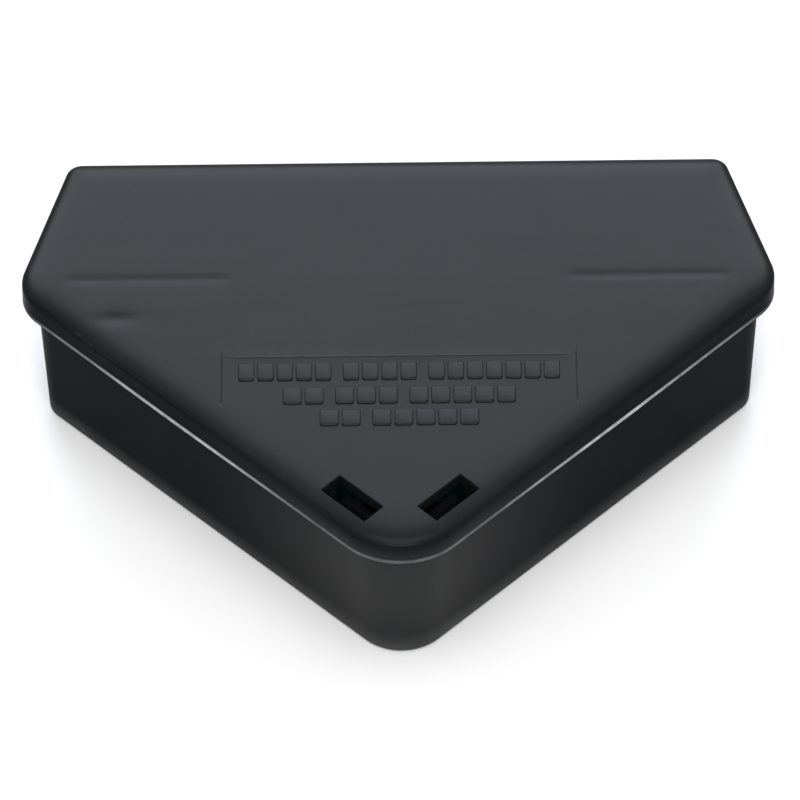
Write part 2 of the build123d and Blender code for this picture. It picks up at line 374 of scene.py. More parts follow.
@dataclass(frozen=True)
class DrawnSteel:
    """Zinc-plated wire, with fine lines along its length."""

    name: str
    grain: Grain
    bright: tuple[float, float, float] = (0.62, 0.62, 0.60)
    dull: tuple[float, float, float] = (0.38, 0.38, 0.37)

    def make(self) -> bpy.types.Material:
        """Build the material.

        Returns:
            The finished node material.
        """
        bench = NodeBench(self.name)
        lines = bench.noise(1.0, 2.0, 0.6, bench.mapping(self.grain.value))
        stain = bench.noise(220.0, 3.0, 0.6)
        tone = bench.math("MULTIPLY", bench.math("ADD", lines, stain), 0.5)
        bench.link(bench.blend(bench.span(tone, 0.3, 0.7, 0, 1), self.dull, self.bright),
                   bench.shader.inputs["Base Color"])
        bench.link(bench.span(lines, 0.3, 0.7, 0.25, 0.45), bench.shader.inputs["Roughness"])
        bench.link(bench.bump(lines, 0.15, 0.0001), bench.shader.inputs["Normal"])
        bench.set(Metallic=1.0)
        return bench.material


@dataclass(frozen=True)
class WaxyBait:
    """Pressed grain bound in coloured wax."""

    name: str
    wax: tuple[float, float, float] = (0.035, 0.20, 0.19)
    husk: tuple[float, float, float] = (0.16, 0.33, 0.25)

    def make(self) -> bpy.types.Material:
        """Build the material.

        Returns:
            The finished node material.
        """
        bench = NodeBench(self.name)
        crumb = bench.cells(420.0)
        tint = bench.cells(420.0, "Color")
        dust = bench.noise(900.0, 4.0, 0.7)
        hearts = bench.span(crumb, 0.1, 0.55, 1.0, 0.0)
        mixed = bench.math("MULTIPLY", hearts, bench.span(tint, 0.2, 0.9, 0.1, 1.0))
        bench.link(bench.blend(mixed, self.wax, self.husk), bench.shader.inputs["Base Color"])
        bench.link(bench.span(dust, 0.3, 0.7, 0.45, 0.7), bench.shader.inputs["Roughness"])
        first = bench.bump(crumb, 0.5, 0.0005)
        bench.link(bench.bump(dust, 0.25, 0.0002, first), bench.shader.inputs["Normal"])
        bench.set(Subsurface_Weight=0.08, Subsurface_Scale=0.002)
        return bench.material


@dataclass(frozen=True)
class StudioPaper:
    """Pale seamless paper, with a faint tooth."""

    name: str = "studio_paper"
    light: tuple[float, float, float] = (0.90, 0.90, 0.90)
    shade: tuple[float, float, float] = (0.86, 0.86, 0.86)

    def make(self) -> bpy.types.Material:
        """Build the material.

        Returns:
            The finished node material.
        """
        bench = NodeBench(self.name)
        tooth = bench.noise(40.0, 2.0, 0.5)
        bench.link(bench.blend(tooth, self.shade, self.light), bench.shader.inputs["Base Color"])
        bench.set(Roughness=0.9, Specular_IOR_Level=0.1)
        return bench.material


# --------------------------------------------------------------------------
# Mesh helpers
# --------------------------------------------------------------------------


def settle(name: str, verts: Sequence[Sequence[float]], faces: Sequence[Sequence[int]],
           weld: float = WELD) -> bpy.types.Object:
    """Make an object from points and faces, with doubles merged and faces outward.

    Args:
        name: name of the piece.
        verts: points, in metres.
        faces: point numbers of each face.
        weld: distance under which points are merged.

    Returns:
        The new object, in the scene, at the origin.
    """
    mesh = bpy.data.meshes.new(name)
    mesh.from_pydata([tuple(map(float, v)) for v in verts], [], [tuple(map(int, f)) for f in faces])
    work = bmesh.new()
    work.from_mesh(mesh)
    bmesh.ops.remove_doubles(work, verts=work.verts, dist=weld)
    bmesh.ops.dissolve_degenerate(work, dist=weld, edges=work.edges)
    bmesh.ops.recalc_face_normals(work, faces=work.faces)
    work.to_mesh(mesh)
    work.free()
    piece = bpy.data.objects.new(name, mesh)
    bpy.context.scene.collection.objects.link(piece)
    return piece


def shade(piece: bpy.types.Object, material: bpy.types.Material, sharp_deg: float = 34.0) -> None:
    """Give a piece one material, smooth faces and crisp edges past an angle.

    Args:
        piece: the piece.
        material: its finish.
        sharp_deg: angle between faces past which an edge is crisp.
    """
    piece.data.materials.clear()
    piece.data.materials.append(material)
    for face in piece.data.polygons:
        face.use_smooth = True
        face.material_index = 0
    piece.data.set_sharp_from_angle(angle=math.radians(sharp_deg))


def bake(piece: bpy.types.Object) -> None:
    """Replace a piece's mesh by its evaluated one and drop the modifiers.

    Args:
        piece: the piece.
    """
    graph = bpy.context.evaluated_depsgraph_get()
    mesh = bpy.data.meshes.new_from_object(piece.evaluated_get(graph), depsgraph=graph)
    piece.modifiers.clear()
    old = piece.data
    piece.data = mesh
    bpy.data.meshes.remove(old)
    mesh.name = piece.name


def ease_edges(piece: bpy.types.Object, width: float, segments: int = 2, angle: float = 40.0) -> None:
    """Round a piece's crisp edges and bake the result.

    Args:
        piece: the piece.
        width: width of the rounding.
        segments: flats across it.
        angle: angle in degrees past which an edge is rounded.
    """
    bevel = piece.modifiers.new("eased", "BEVEL")
    bevel.width = width
    bevel.segments = segments
    bevel.limit_method = "ANGLE"
    bevel.angle_limit = math.radians(angle)
    bevel.harden_normals = True
    bake(piece)


def fill_sheet(points: np.ndarray, keep: Callable[[np.ndarray], np.ndarray],
               loops: Sequence[Sequence[int]] = ()) -> list[tuple[int, int, int]]:
    """Triangulate points in the plane, keeping given loops as edges.

    Args:
        points: (n, 2) points.
        keep: tells from triangle middles which triangles stay.
        loops: closed loops of point numbers that must be edges.

    Returns:
        Triangles as point numbers.
    """
    edges = [(a, b) for loop in loops for a, b in zip(loop, list(loop[1:]) + [loop[0]])]
    scaled = [Vector((p[0] / MM, p[1] / MM)) for p in points]
    out = delaunay_2d_cdt(scaled, edges, [], 0, CLOSE, True)
    source = [ids[0] if ids else -1 for ids in out[3]]
    tris = [tuple(source[i] for i in tri) for tri in out[2] if all(source[i] >= 0 for i in tri)]
    corners = points[np.array(tris)]
    one, two = corners[:, 1] - corners[:, 0], corners[:, 2] - corners[:, 0]
    area = np.abs(one[:, 0] * two[:, 1] - one[:, 1] * two[:, 0])
    solid = area > SLIVER * np.maximum((one ** 2).sum(axis=1), (two ** 2).sum(axis=1))
    return [tri for tri, stays in zip(tris, keep(corners.mean(axis=1)) & solid) if stays]


def prism(name: str, outline: Sequence[tuple[float, float]], holes: Sequence[Sequence[tuple[float, float]]],
          depth: tuple[float, float], lift: Callable[[float, float, float], tuple[float, float, float]]
          ) -> bpy.types.Object:
    """Solid of a flat profile with holes, pushed out along its normal.

    Args:
        name: name of the piece.
        outline: outer profile.
        holes: inner profiles.
        depth: where the solid starts and ends along the profile's normal.
        lift: turns profile coordinates and a depth into a place in space.

    Returns:
        The closed solid.
    """
    loops, points = [], []
    for loop in (outline, *holes):
        loops.append(list(range(len(points), len(points) + len(loop))))
        points.extend(loop)
    flat = np.array(points)
    rings = [flat[loop] for loop in loops]

    def solid(middles: np.ndarray) -> np.ndarray:
        """Tell which places lie inside the outline and outside every hole.

        Args:
            middles: (n, 2) places.

        Returns:
            One truth value for each place.
        """
        result = inside(middles, rings[0])
        for ring in rings[1:]:
            result &= ~inside(middles, ring)
        return result

    tris = fill_sheet(flat, solid, loops)
    verts = [lift(p[0], p[1], end) for end in depth for p in points]
    shift = len(points)
    faces: list[tuple[int, ...]] = list(tris)
    faces += [(c + shift, b + shift, a + shift) for a, b, c in tris]
    for loop in loops:
        for a, b in zip(loop, loop[1:] + loop[:1]):
            faces.append((a, b, b + shift, a + shift))
    return settle(name, verts, faces)


def mark(piece: bpy.types.Object, name: str, values: np.ndarray) -> None:
    """Paint a number on every point of a piece.

    Args:
        piece: the piece.
        name: name of the attribute.
        values: one number for each point.
    """
    layer = piece.data.attributes.new(name, "FLOAT", "POINT")
    layer.data.foreach_set("value", values.astype(np.float32))


def inside(points: np.ndarray, loop: np.ndarray) -> np.ndarray:
    """Tell which points lie inside a closed loop.

    Args:
        points: (n, 2) points.
        loop: (m, 2) corners of the loop.

    Returns:
        One truth value for each point.
    """
    result = np.zeros(len(points), bool)
    ahead = np.roll(loop, -1, axis=0)
    for (x0, y0), (x1, y1) in zip(loop, ahead):
        if y0 == y1:
            continue
        crosses = (points[:, 1] >= min(y0, y1)) & (points[:, 1] < max(y0, y1))
        at = x0 + (points[:, 1] - y0) / (y1 - y0) * (x1 - x0)
        result ^= crosses & (points[:, 0] < at)
    return result


def join(name: str, pieces: Sequence[bpy.types.Object]) -> bpy.types.Object:
    """Make one object of several, at the origin.

    Args:
        name: name of the whole.
        pieces: objects to join, which are removed.

    Returns:
        The joined object.
    """
    work = bmesh.new()
    for piece in pieces:
        work.from_mesh(piece.data)
        bpy.data.objects.remove(piece)
    mesh = bpy.data.meshes.new(name)
    work.to_mesh(mesh)
    work.free()
    whole = bpy.data.objects.new(name, mesh)
    bpy.context.scene.collection.objects.link(whole)
    return whole


# --------------------------------------------------------------------------
# The five-sided plan
# --------------------------------------------------------------------------


@dataclass(frozen=True)
class FiveSides:
    """The lid's plan: a blunt arrow with rounded corners, measured by depth from its edge."""

    side_half: float = 76.25 * MM
    side_y: float = 16.0 * MM
    back_half: float = 65.7 * MM
    back_y: float = 51.0 * MM
    apex_y: float = -60.25 * MM
    front_r: float = 14.8 * MM
    side_r: float = 10.0 * MM
    back_r: float = 3.4 * MM
    least_r: float = 0.9 * MM
    arc_steps: tuple[int, ...] = (28, 16, 10, 10, 16)
    line_steps: tuple[int, ...] = (34, 12, 40, 12, 34)

    def sides(self) -> tuple[np.ndarray, np.ndarray]:
        """Find the five sides, from the right front round to the left front.

        Returns:
            Their outward normals and their distances from the origin.
        """
        tips = np.array([(0, self.apex_y), (self.side_half, self.side_y), (self.back_half, self.back_y),
                         (-self.back_half, self.back_y), (-self.side_half, self.side_y)])
        run = np.roll(tips, -1, axis=0) - tips
        normals = np.stack([run[:, 1], -run[:, 0]], axis=1) / np.linalg.norm(run, axis=1)[:, None]
        return normals, np.sum(normals * tips, axis=1)

    def corner(self, before: int, after: int, inset: float) -> np.ndarray:
        """Find where two sides cross once both are moved in.

        Args:
            before: number of the first side.
            after: number of the second side.
            inset: how far both are moved in.

        Returns:
            The crossing point.
        """
        normals, far = self.sides()
        return np.linalg.solve(normals[[before, after]], far[[before, after]] - inset)

    def radii(self) -> tuple[float, ...]:
        """Corner radii, from the front corner round."""
        return (self.front_r, self.side_r, self.back_r, self.back_r, self.side_r)

    def ring(self, inset: float) -> np.ndarray:
        """Closed ring of points at one depth from the edge, the same number at every depth.

        Args:
            inset: depth from the lid's edge; negative is outside it.

        Returns:
            (n, 2) points, anticlockwise from the front corner.
        """
        normals, _ = self.sides()
        arcs = []
        for k, radius in enumerate(self.radii()):
            before, after = k - 1, k
            reach = max(radius - inset, self.least_r)
            middle = self.corner(before % 5, after, inset + reach)
            start = math.atan2(*normals[before][::-1])
            turn = (math.atan2(*normals[after][::-1]) - start) % (2 * math.pi)
            angles = start + turn * np.linspace(0, 1, self.arc_steps[k] + 1)
            arcs.append(middle + reach * np.stack([np.cos(angles), np.sin(angles)], axis=1))
        out = []
        for k, arc in enumerate(arcs):
            out.append(arc)
            ahead = arcs[(k + 1) % 5][0]
            ways = np.linspace(0, 1, self.line_steps[k] + 1)[1:-1, None]
            out.append(arc[-1] + (ahead - arc[-1]) * ways)
        return np.concatenate(out)

    def depth(self, points: np.ndarray) -> np.ndarray:
        """Measure how far points lie in from the rounded edge.

        Args:
            points: (n, 2) points.

        Returns:
            One depth for each point, negative outside the edge.
        """
        normals, far = self.sides()
        gaps = far - points @ normals.T
        result = gaps.min(axis=1)
        for k, radius in enumerate(self.radii()):
            before, after = (k - 1) % 5, k
            middle = self.corner(before, after, radius)
            away = points - middle
            parts = np.linalg.solve(np.stack([normals[before], normals[after]], axis=1), away.T)
            past = (parts[0] > 0) & (parts[1] > 0)
            result = np.where(past, radius - np.linalg.norm(away, axis=1), result)
        return result


# --------------------------------------------------------------------------
# Lid
# --------------------------------------------------------------------------


@dataclass
class LidShell:
    """The lid's moulded skin: skirt, rounded shoulder, soft crown, key slots and sink marks."""

    plan: FiveSides = field(default_factory=FiveSides)
    top_z: float = 36.9 * MM
    skirt_z: float = 31.1 * MM
    plate_z: float = 34.5 * MM
    skirt_t: float = 2.2 * MM
    shoulder_r: float = 1.25 * MM
    border_slope: float = 0.43
    border_fade: float = 1.5 * MM
    level_from: float = 8.0 * MM
    lip_out: float = 0.36 * MM
    lip_ease: float = 0.25 * MM
    lip_flare: tuple[tuple[float, float], ...] = (      # share of lip_out, and height above the lip
        (0.0, 2.9 * MM), (0.04, 2.1 * MM), (0.14, 1.4 * MM), (0.30, 0.95 * MM), (0.55, 0.72 * MM),
        (0.85, 0.52 * MM), (1.0, 0.34 * MM), (1.0, 0.16 * MM), (0.6, 0.03 * MM))
    shoulder_steps: int = 10
    ring_depths: tuple[float, ...] = (0.95, 1.3, 1.65, 2.0, 2.4, 2.9, 3.4, 4.0, 4.7, 5.5, 6.5, 8.0)
    # Spread along the sides of the lip's flare and of its pale paint, partly scuff and partly painted
    # highlight.
    lip_peak_x: float = 44.0 * MM
    lip_peak_reach: float = 18.0 * MM
    lip_fade_y: float = 20.0 * MM
    slot_x: float = 9.44 * MM
    slot_y: float = -41.85 * MM
    slot_half: tuple[float, float] = (5.9 * MM, 2.56 * MM)
    slot_bevel: float = 0.2 * MM
    sink_y: float = 17.9 * MM
    sink_half: float = 1.1 * MM
    sink_x: tuple[float, float] = (32.5 * MM, 67.5 * MM)
    sink_depth: float = 0.075 * MM
    dimple_at: tuple[float, float] = (-56.0 * MM, 7.2 * MM)
    dimple_half: tuple[float, float] = (3.6 * MM, 1.7 * MM)
    dimple_depth: float = 0.14 * MM
    panel_half: float = 35.0 * MM
    panel_y: tuple[float, float] = (-18.5 * MM, 0.6 * MM)
    panel_top: float = -3.7 * MM
    witness: float = 0.045 * MM
    witness_w: float = 0.16 * MM

    def crown_start(self) -> tuple[float, float]:
        """Find where the shoulder's arc hands over to the crown.

        Returns:
            Its depth from the edge and its height.
        """
        tilt = math.atan(self.border_slope)
        rise = self.crown_rise(self.level_from)
        depth = self.shoulder_r * (1 - math.sin(tilt))
        return depth, self.top_z - rise

    def crown_rise(self, depth: float | np.ndarray) -> float | np.ndarray:
        """Height gained from the shoulder to a depth: steep at first, then fading to level.

        Args:
            depth: depth from the lid's edge.

        Returns:
            The height gained.
        """
        start = self.shoulder_r * (1 - math.sin(math.atan(self.border_slope)))
        run = np.clip(depth, start, self.level_from) - start
        return self.border_slope * self.border_fade * (1 - np.exp(-run / self.border_fade))

    def height(self, points: np.ndarray) -> np.ndarray:
        """Height of the lid's top, sink marks and witness lines included.

        Args:
            points: (n, 2) points.

        Returns:
            One height for each point.
        """
        _, start_z = self.crown_start()
        z = start_z + self.crown_rise(self.plan.depth(points))
        x, y = points[:, 0], points[:, 1]
        low, high = self.sink_x
        soft = 4.0 * MM
        along = np.clip((np.abs(x) - low) / soft, 0, 1) * np.clip((high - np.abs(x)) / soft, 0, 1)
        z = z - self.sink_depth * along * np.exp(-((y - self.sink_y) / self.sink_half) ** 2)
        dx, dy = ((points - self.dimple_at) / self.dimple_half).T
        z = z - self.dimple_depth * np.exp(-(dx ** 2 + dy ** 2))
        low, high = self.panel_y
        fade = np.clip((y - low) / (3 * MM), 0, 1) * np.clip((high - y) / (3 * MM), 0, 1)
        z = z + 2 * self.witness * fade * np.exp(-((np.abs(x) - self.panel_half) / self.witness_w) ** 2)
        fade = np.clip((self.panel_half - np.abs(x)) / (3 * MM), 0, 1)
        return z + 0.6 * self.witness * fade * np.exp(-((y - self.panel_top) / self.witness_w) ** 2)

    def witness_grid(self) -> np.ndarray:
        """Lay close points across the panel's three witness lines.

        Returns:
            (n, 2) points.
        """
        low, high = self.panel_y
        across = np.array([-2.4, -1.4, -0.7, 0.0, 0.7, 1.4, 2.4]) * self.witness_w
        gx, gy = np.meshgrid(self.panel_half + across, np.arange(low, high, 0.9 * MM))
        upright = np.stack([gx.ravel(), gy.ravel()], axis=1)
        gx, gy = np.meshgrid(np.arange(-self.panel_half, self.panel_half, 0.9 * MM), self.panel_top + across)
        level = np.stack([gx.ravel(), gy.ravel()], axis=1)
        level = level[np.abs(level[:, 0]) < self.panel_half - 1.0 * MM]
        return np.concatenate([upright, upright * (-1, 1), level])

    def slot_loop(self, hand: Hand, grow: float) -> np.ndarray:
        """Outline one key slot, with points along its sides.

        Args:
            hand: which slot.
            grow: margin added all round.

        Returns:
            (n, 2) points round the slot.
        """
        half_l, half_w = self.slot_half[0] + grow, self.slot_half[1] + grow
        tips = [(-half_l, -half_w), (half_l, -half_w), (half_l, half_w), (-half_l, half_w)]
        flat = []
        for (ax, ay), (bx, by), count in zip(tips, tips[1:] + tips[:1], (12, 6, 12, 6)):
            flat += [(ax + (bx - ax) * i / count, ay + (by - ay) * i / count) for i in range(count)]
        turn = math.radians(45 * hand.value)
        spin = np.array([[math.cos(turn), -math.sin(turn)], [math.sin(turn), math.cos(turn)]])
        return np.array(flat) @ spin.T + (hand.value * self.slot_x, self.slot_y)

    def profile(self) -> list[tuple[float, float]]:
        """Section of the skin: from the crown's start, over the shoulder, down the skirt and up inside.

        Returns:
            Depth and height of each row of points.
        """
        depth, start_z = self.crown_start()
        tilt = math.atan(self.border_slope)
        hub = start_z - self.shoulder_r * math.cos(tilt)
        rows = []
        for step in range(1, self.shoulder_steps + 1):
            a = (math.pi / 2 - tilt) * (1 - step / self.shoulder_steps)
            rows.append((self.shoulder_r * (1 - math.cos(a)), hub + self.shoulder_r * math.sin(a)))
        low, inner, ease = self.skirt_z, self.skirt_t, self.lip_ease
        rows += [(-self.lip_out * out, low + up) for out, up in self.lip_flare]
        return rows + [(0.05 * MM, low), (inner - ease, low), (inner, low + ease), (inner, self.plate_z)]

    def top_points(self) -> tuple[np.ndarray, list[list[int]]]:
        """Lay the points of the top sheet.

        Returns:
            The points, and the loops that must stay as edges:
            the rim, then the outer and inner edge of each slot's bevel.
        """
        start, _ = self.crown_start()
        rings = [self.plan.ring(start)] + [self.plan.ring(MM * depth) for depth in self.ring_depths]
        points = [rings[0]]
        loops: list[list[int]] = [list(range(len(rings[0])))]
        count = len(rings[0])
        rims = [self.slot_loop(hand, grow) for hand in Hand for grow in (self.slot_bevel, 0.0)]
        outer = [self.slot_loop(hand, self.slot_bevel + 0.25 * MM) for hand in Hand]
        for rim in rims:
            loops.append(list(range(count, count + len(rim))))
            points.append(rim)
            count += len(rim)
        spare = rings[1:] + [self.flat_grid(), self.sink_grid(), self.dimple_grid(), self.witness_grid()]
        loose = np.concatenate(spare)
        clear = ~np.any([inside(loose, loop) for loop in outer], axis=0)
        points.append(loose[clear])
        return np.concatenate(points), loops

    def flat_grid(self) -> np.ndarray:
        """Lay even points over the level middle of the lid.

        Returns:
            (n, 2) points.
        """
        pitch = 3.0 * MM
        xs, ys = np.meshgrid(np.arange(-self.plan.side_half, self.plan.side_half, pitch),
                             np.arange(self.plan.apex_y, self.plan.back_y, pitch))
        grid = np.stack([xs.ravel(), ys.ravel()], axis=1)
        grid[:, 0] += np.where((np.round(grid[:, 1] / pitch) % 2) == 0, pitch / 2, 0)
        return grid[self.plan.depth(grid) > 9.2 * MM]

    def sink_grid(self) -> np.ndarray:
        """Lay close points across the two long sink marks.

        Returns:
            (n, 2) points.
        """
        low, high = self.sink_x
        xs = np.arange(low - 1.0 * MM, high + 0.5 * MM, 1.0 * MM)
        ys = self.sink_y + np.arange(-2.5, 2.51, 0.5) * MM
        gx, gy = np.meshgrid(xs, ys)
        half = np.stack([gx.ravel(), gy.ravel()], axis=1)
        return np.concatenate([half, half * (-1, 1)])

    def dimple_grid(self) -> np.ndarray:
        """Close points over the small oval sink mark."""
        gx, gy = np.meshgrid(np.arange(-8, 8.1, 0.8) * MM, np.arange(-4.0, 4.01, 0.4) * MM)
        return np.stack([gx.ravel() + self.dimple_at[0] + 0.1 * MM, gy.ravel() + self.dimple_at[1]], axis=1)

    def build(self) -> bpy.types.Object:
        """Build the closed skin.

        Returns:
            The lid shell as one watertight mesh.
        """
        points, loops = self.top_points()
        holes = [self.slot_loop(hand, 0.0) for hand in Hand]
        tris = fill_sheet(points, lambda m: ~np.any([inside(m, h) for h in holes], axis=0), loops)
        z = self.height(points)
        for low in (loops[2], loops[4]):
            z[low] -= self.slot_bevel
        verts = [np.column_stack([points, z])]
        faces: list[tuple[int, ...]] = list(tris)
        count, size = len(points), len(loops[0])
        ring = loops[0]
        for depth, level in self.profile():
            flat = self.plan.ring(max(depth, 0.0))
            if depth < 0:
                flat = flat + self.lip_flare_and_highlight_at(flat)[:, None] * (self.plan.ring(depth) - flat)
            verts.append(np.column_stack([flat, np.full(size, level)]))
            ahead = list(range(count, count + size))
            faces += [(ring[i], ahead[i], ahead[(i + 1) % size], ring[(i + 1) % size]) for i in range(size)]
            ring, count = ahead, count + size
        under = [self.plan.ring(self.skirt_t), *holes]
        start = count
        wall_loops = []
        for loop in under:
            verts.append(np.column_stack([loop, np.full(len(loop), self.plate_z)]))
            wall_loops.append(list(range(count, count + len(loop))))
            count += len(loop)
        flat = np.concatenate(under)
        local = [[i - start for i in loop] for loop in wall_loops]
        tris = fill_sheet(flat, lambda m: ~np.any([inside(m, h) for h in holes], axis=0), local)
        faces += [tuple(i + start for i in reversed(tri)) for tri in tris]
        for top, low in ((loops[2], wall_loops[1]), (loops[4], wall_loops[2])):
            n = len(top)
            faces += [(top[i], low[i], low[(i + 1) % n], top[(i + 1) % n]) for i in range(n)]
        shell = settle("lid_shell", np.concatenate(verts), faces, 2e-6)
        self.paint(shell)
        return shell

    def lip_flare_and_highlight_at(self, places: np.ndarray) -> np.ndarray:
        """How far the lip flares and how strongly it is painted pale, partly scuff and partly painted
        highlight: most along the long sides, hardly at all round the side corners.

        Args:
            places: (n, 2) or (n, 3) points.

        Returns:
            A share of the full flare and pale paint for each point.
        """
        across = np.abs(places[:, 0])
        spread = np.exp(-((across - self.lip_peak_x) / self.lip_peak_reach) ** 2)
        front = np.clip((self.lip_fade_y - places[:, 1]) / (12.0 * MM), 0.12, 1.0)
        return (0.2 + 0.8 * spread) * front

    def paint(self, shell: bpy.types.Object) -> None:
        """Mark the lip's scuff and painted highlight, and the matte faces from the shoulder down.

        Args:
            shell: the lid shell, which gets the marks as attributes.
        """
        places = np.empty(len(shell.data.vertices) * 3)
        shell.data.vertices.foreach_get("co", places)
        places = places.reshape(-1, 3)
        depth = self.plan.depth(places[:, :2])
        lip = (depth < 0.06 * MM) & (places[:, 2] - self.skirt_z < 0.75 * MM)
        within = (depth > self.skirt_t - 0.1 * MM) & (places[:, 2] < self.top_z - self.slot_bevel * 0.9)
        over = np.clip((self.shoulder_r - depth) / self.shoulder_r, 0, 1)
        matte = np.where(within & (depth > 6 * MM), 1.0, over)
        matte[places[:, 2] < self.plate_z + 0.1 * MM] = 1.0
        handled = np.clip((self.top_z - 1.4 * MM - places[:, 2]) / (4.0 * MM), 0.1, 1) * (matte > 0.5)
        # Lip mask: partly scuff, partly painted highlight.
        mark(shell, "edge_wear", lip * self.lip_flare_and_highlight_at(places))
        mark(shell, "matte", matte)
        mark(shell, "handled", handled)


@dataclass
class LidFittings:
    """What hangs under the lid: hinge knuckles, sealing ribs and the latches' catch bars."""

    shell: LidShell
    hinge_y: float = 51.52 * MM
    hinge_z: float = 28.0 * MM
    knuckle_r: float = 2.6 * MM
    bore_r: float = 1.25 * MM
    knuckle_x: tuple[float, float] = (32.3 * MM, 47.7 * MM)
    rib_x: tuple[float, float] = (33.6 * MM, 66.0 * MM)
    rib_t: float = 1.4 * MM
    rib_z: float = 30.5 * MM
    latch_y: float = -42.1 * MM
    bar_half: float = 7.4 * MM
    bar_v: tuple[float, float] = (0.1 * MM, 1.9 * MM)
    bar_z: tuple[float, float] = (22.3 * MM, 24.5 * MM)
    leg_t: float = 1.2 * MM
    dullness: float = 0.8

    def knuckle(self, hand: Hand) -> bpy.types.Object:
        """Barrel and web that turn on one hinge pin.

        Args:
            hand: which half of the lid.

        Returns:
            The knuckle.
        """
        r, y, z = self.knuckle_r, self.hinge_y, self.hinge_z
        sweep = np.radians(np.linspace(-180, 45, 28))
        outline = [(y + r * math.cos(a), z + r * math.sin(a)) for a in sweep]
        back = self.shell.plan.back_y - 0.05 * MM
        top = z + r * math.sin(math.pi / 4) + (y + r * math.cos(math.pi / 4) - back)
        outline += [(back, top), (back - 1.0 * MM, top), (y - r, self.shell.skirt_z + 0.6 * MM)]
        hole = [(y + self.bore_r * math.cos(a), z + self.bore_r * math.sin(a))
                for a in np.radians(np.arange(0, 360, 15))]
        x0, x1 = (hand.value * v for v in self.knuckle_x)
        return prism("knuckle", outline, [hole], (x0, x1), lambda a, b, d: (d, a, b))

    def rib(self, hand: Hand) -> bpy.types.Object:
        """Rib that meets a baffle's top.

        Args:
            hand: which half of the lid.

        Returns:
            The rib.
        """
        x0, x1 = sorted(hand.value * v for v in self.rib_x)
        top = self.shell.plate_z + 0.3 * MM
        outline = [(x0, self.rib_z), (x1, self.rib_z), (x1, top), (x0, top)]
        y = self.shell.sink_y
        return prism("rib", outline, [], (y - self.rib_t / 2, y + self.rib_t / 2), lambda a, b, d: (a, d, b))

    def catch(self, hand: Hand) -> bpy.types.Object:
        """Frame under a key slot that the latch's nose holds down.

        Args:
            hand: which half of the lid.

        Returns:
            The frame.
        """
        half, leg = self.bar_half, self.leg_t
        low, high = self.bar_z
        top = self.shell.plate_z + 0.3 * MM
        outline = [(-half, low), (half, low), (half, top), (half - leg, top), (half - leg, high),
                   (-half + leg, high), (-half + leg, top), (-half, top)]
        turn = math.radians(45 * hand.value)
        c, s = math.cos(turn), math.sin(turn)
        ox, oy = hand.value * self.shell.slot_x, self.latch_y
        return prism("catch", outline, [], self.bar_v,
                     lambda a, b, d: (ox + c * a - s * d, oy + s * a + c * d, b))

    def build(self) -> bpy.types.Object:
        """Build all fittings as one piece.

        Returns:
            The fittings, with eased edges.
        """
        parts = [make(hand) for hand in Hand for make in (self.knuckle, self.rib, self.catch)]
        whole = join("lid_fittings", parts)
        ease_edges(whole, 0.15 * MM)
        mark(whole, "matte", np.full(len(whole.data.vertices), self.dullness))
        return whole


@dataclass(frozen=True)
class TileRow:
    """One row of tiles: its place, its overall size and how many tiles stand in each group."""

    y: float
    depth: float
    width: float
    groups: tuple[int, ...]


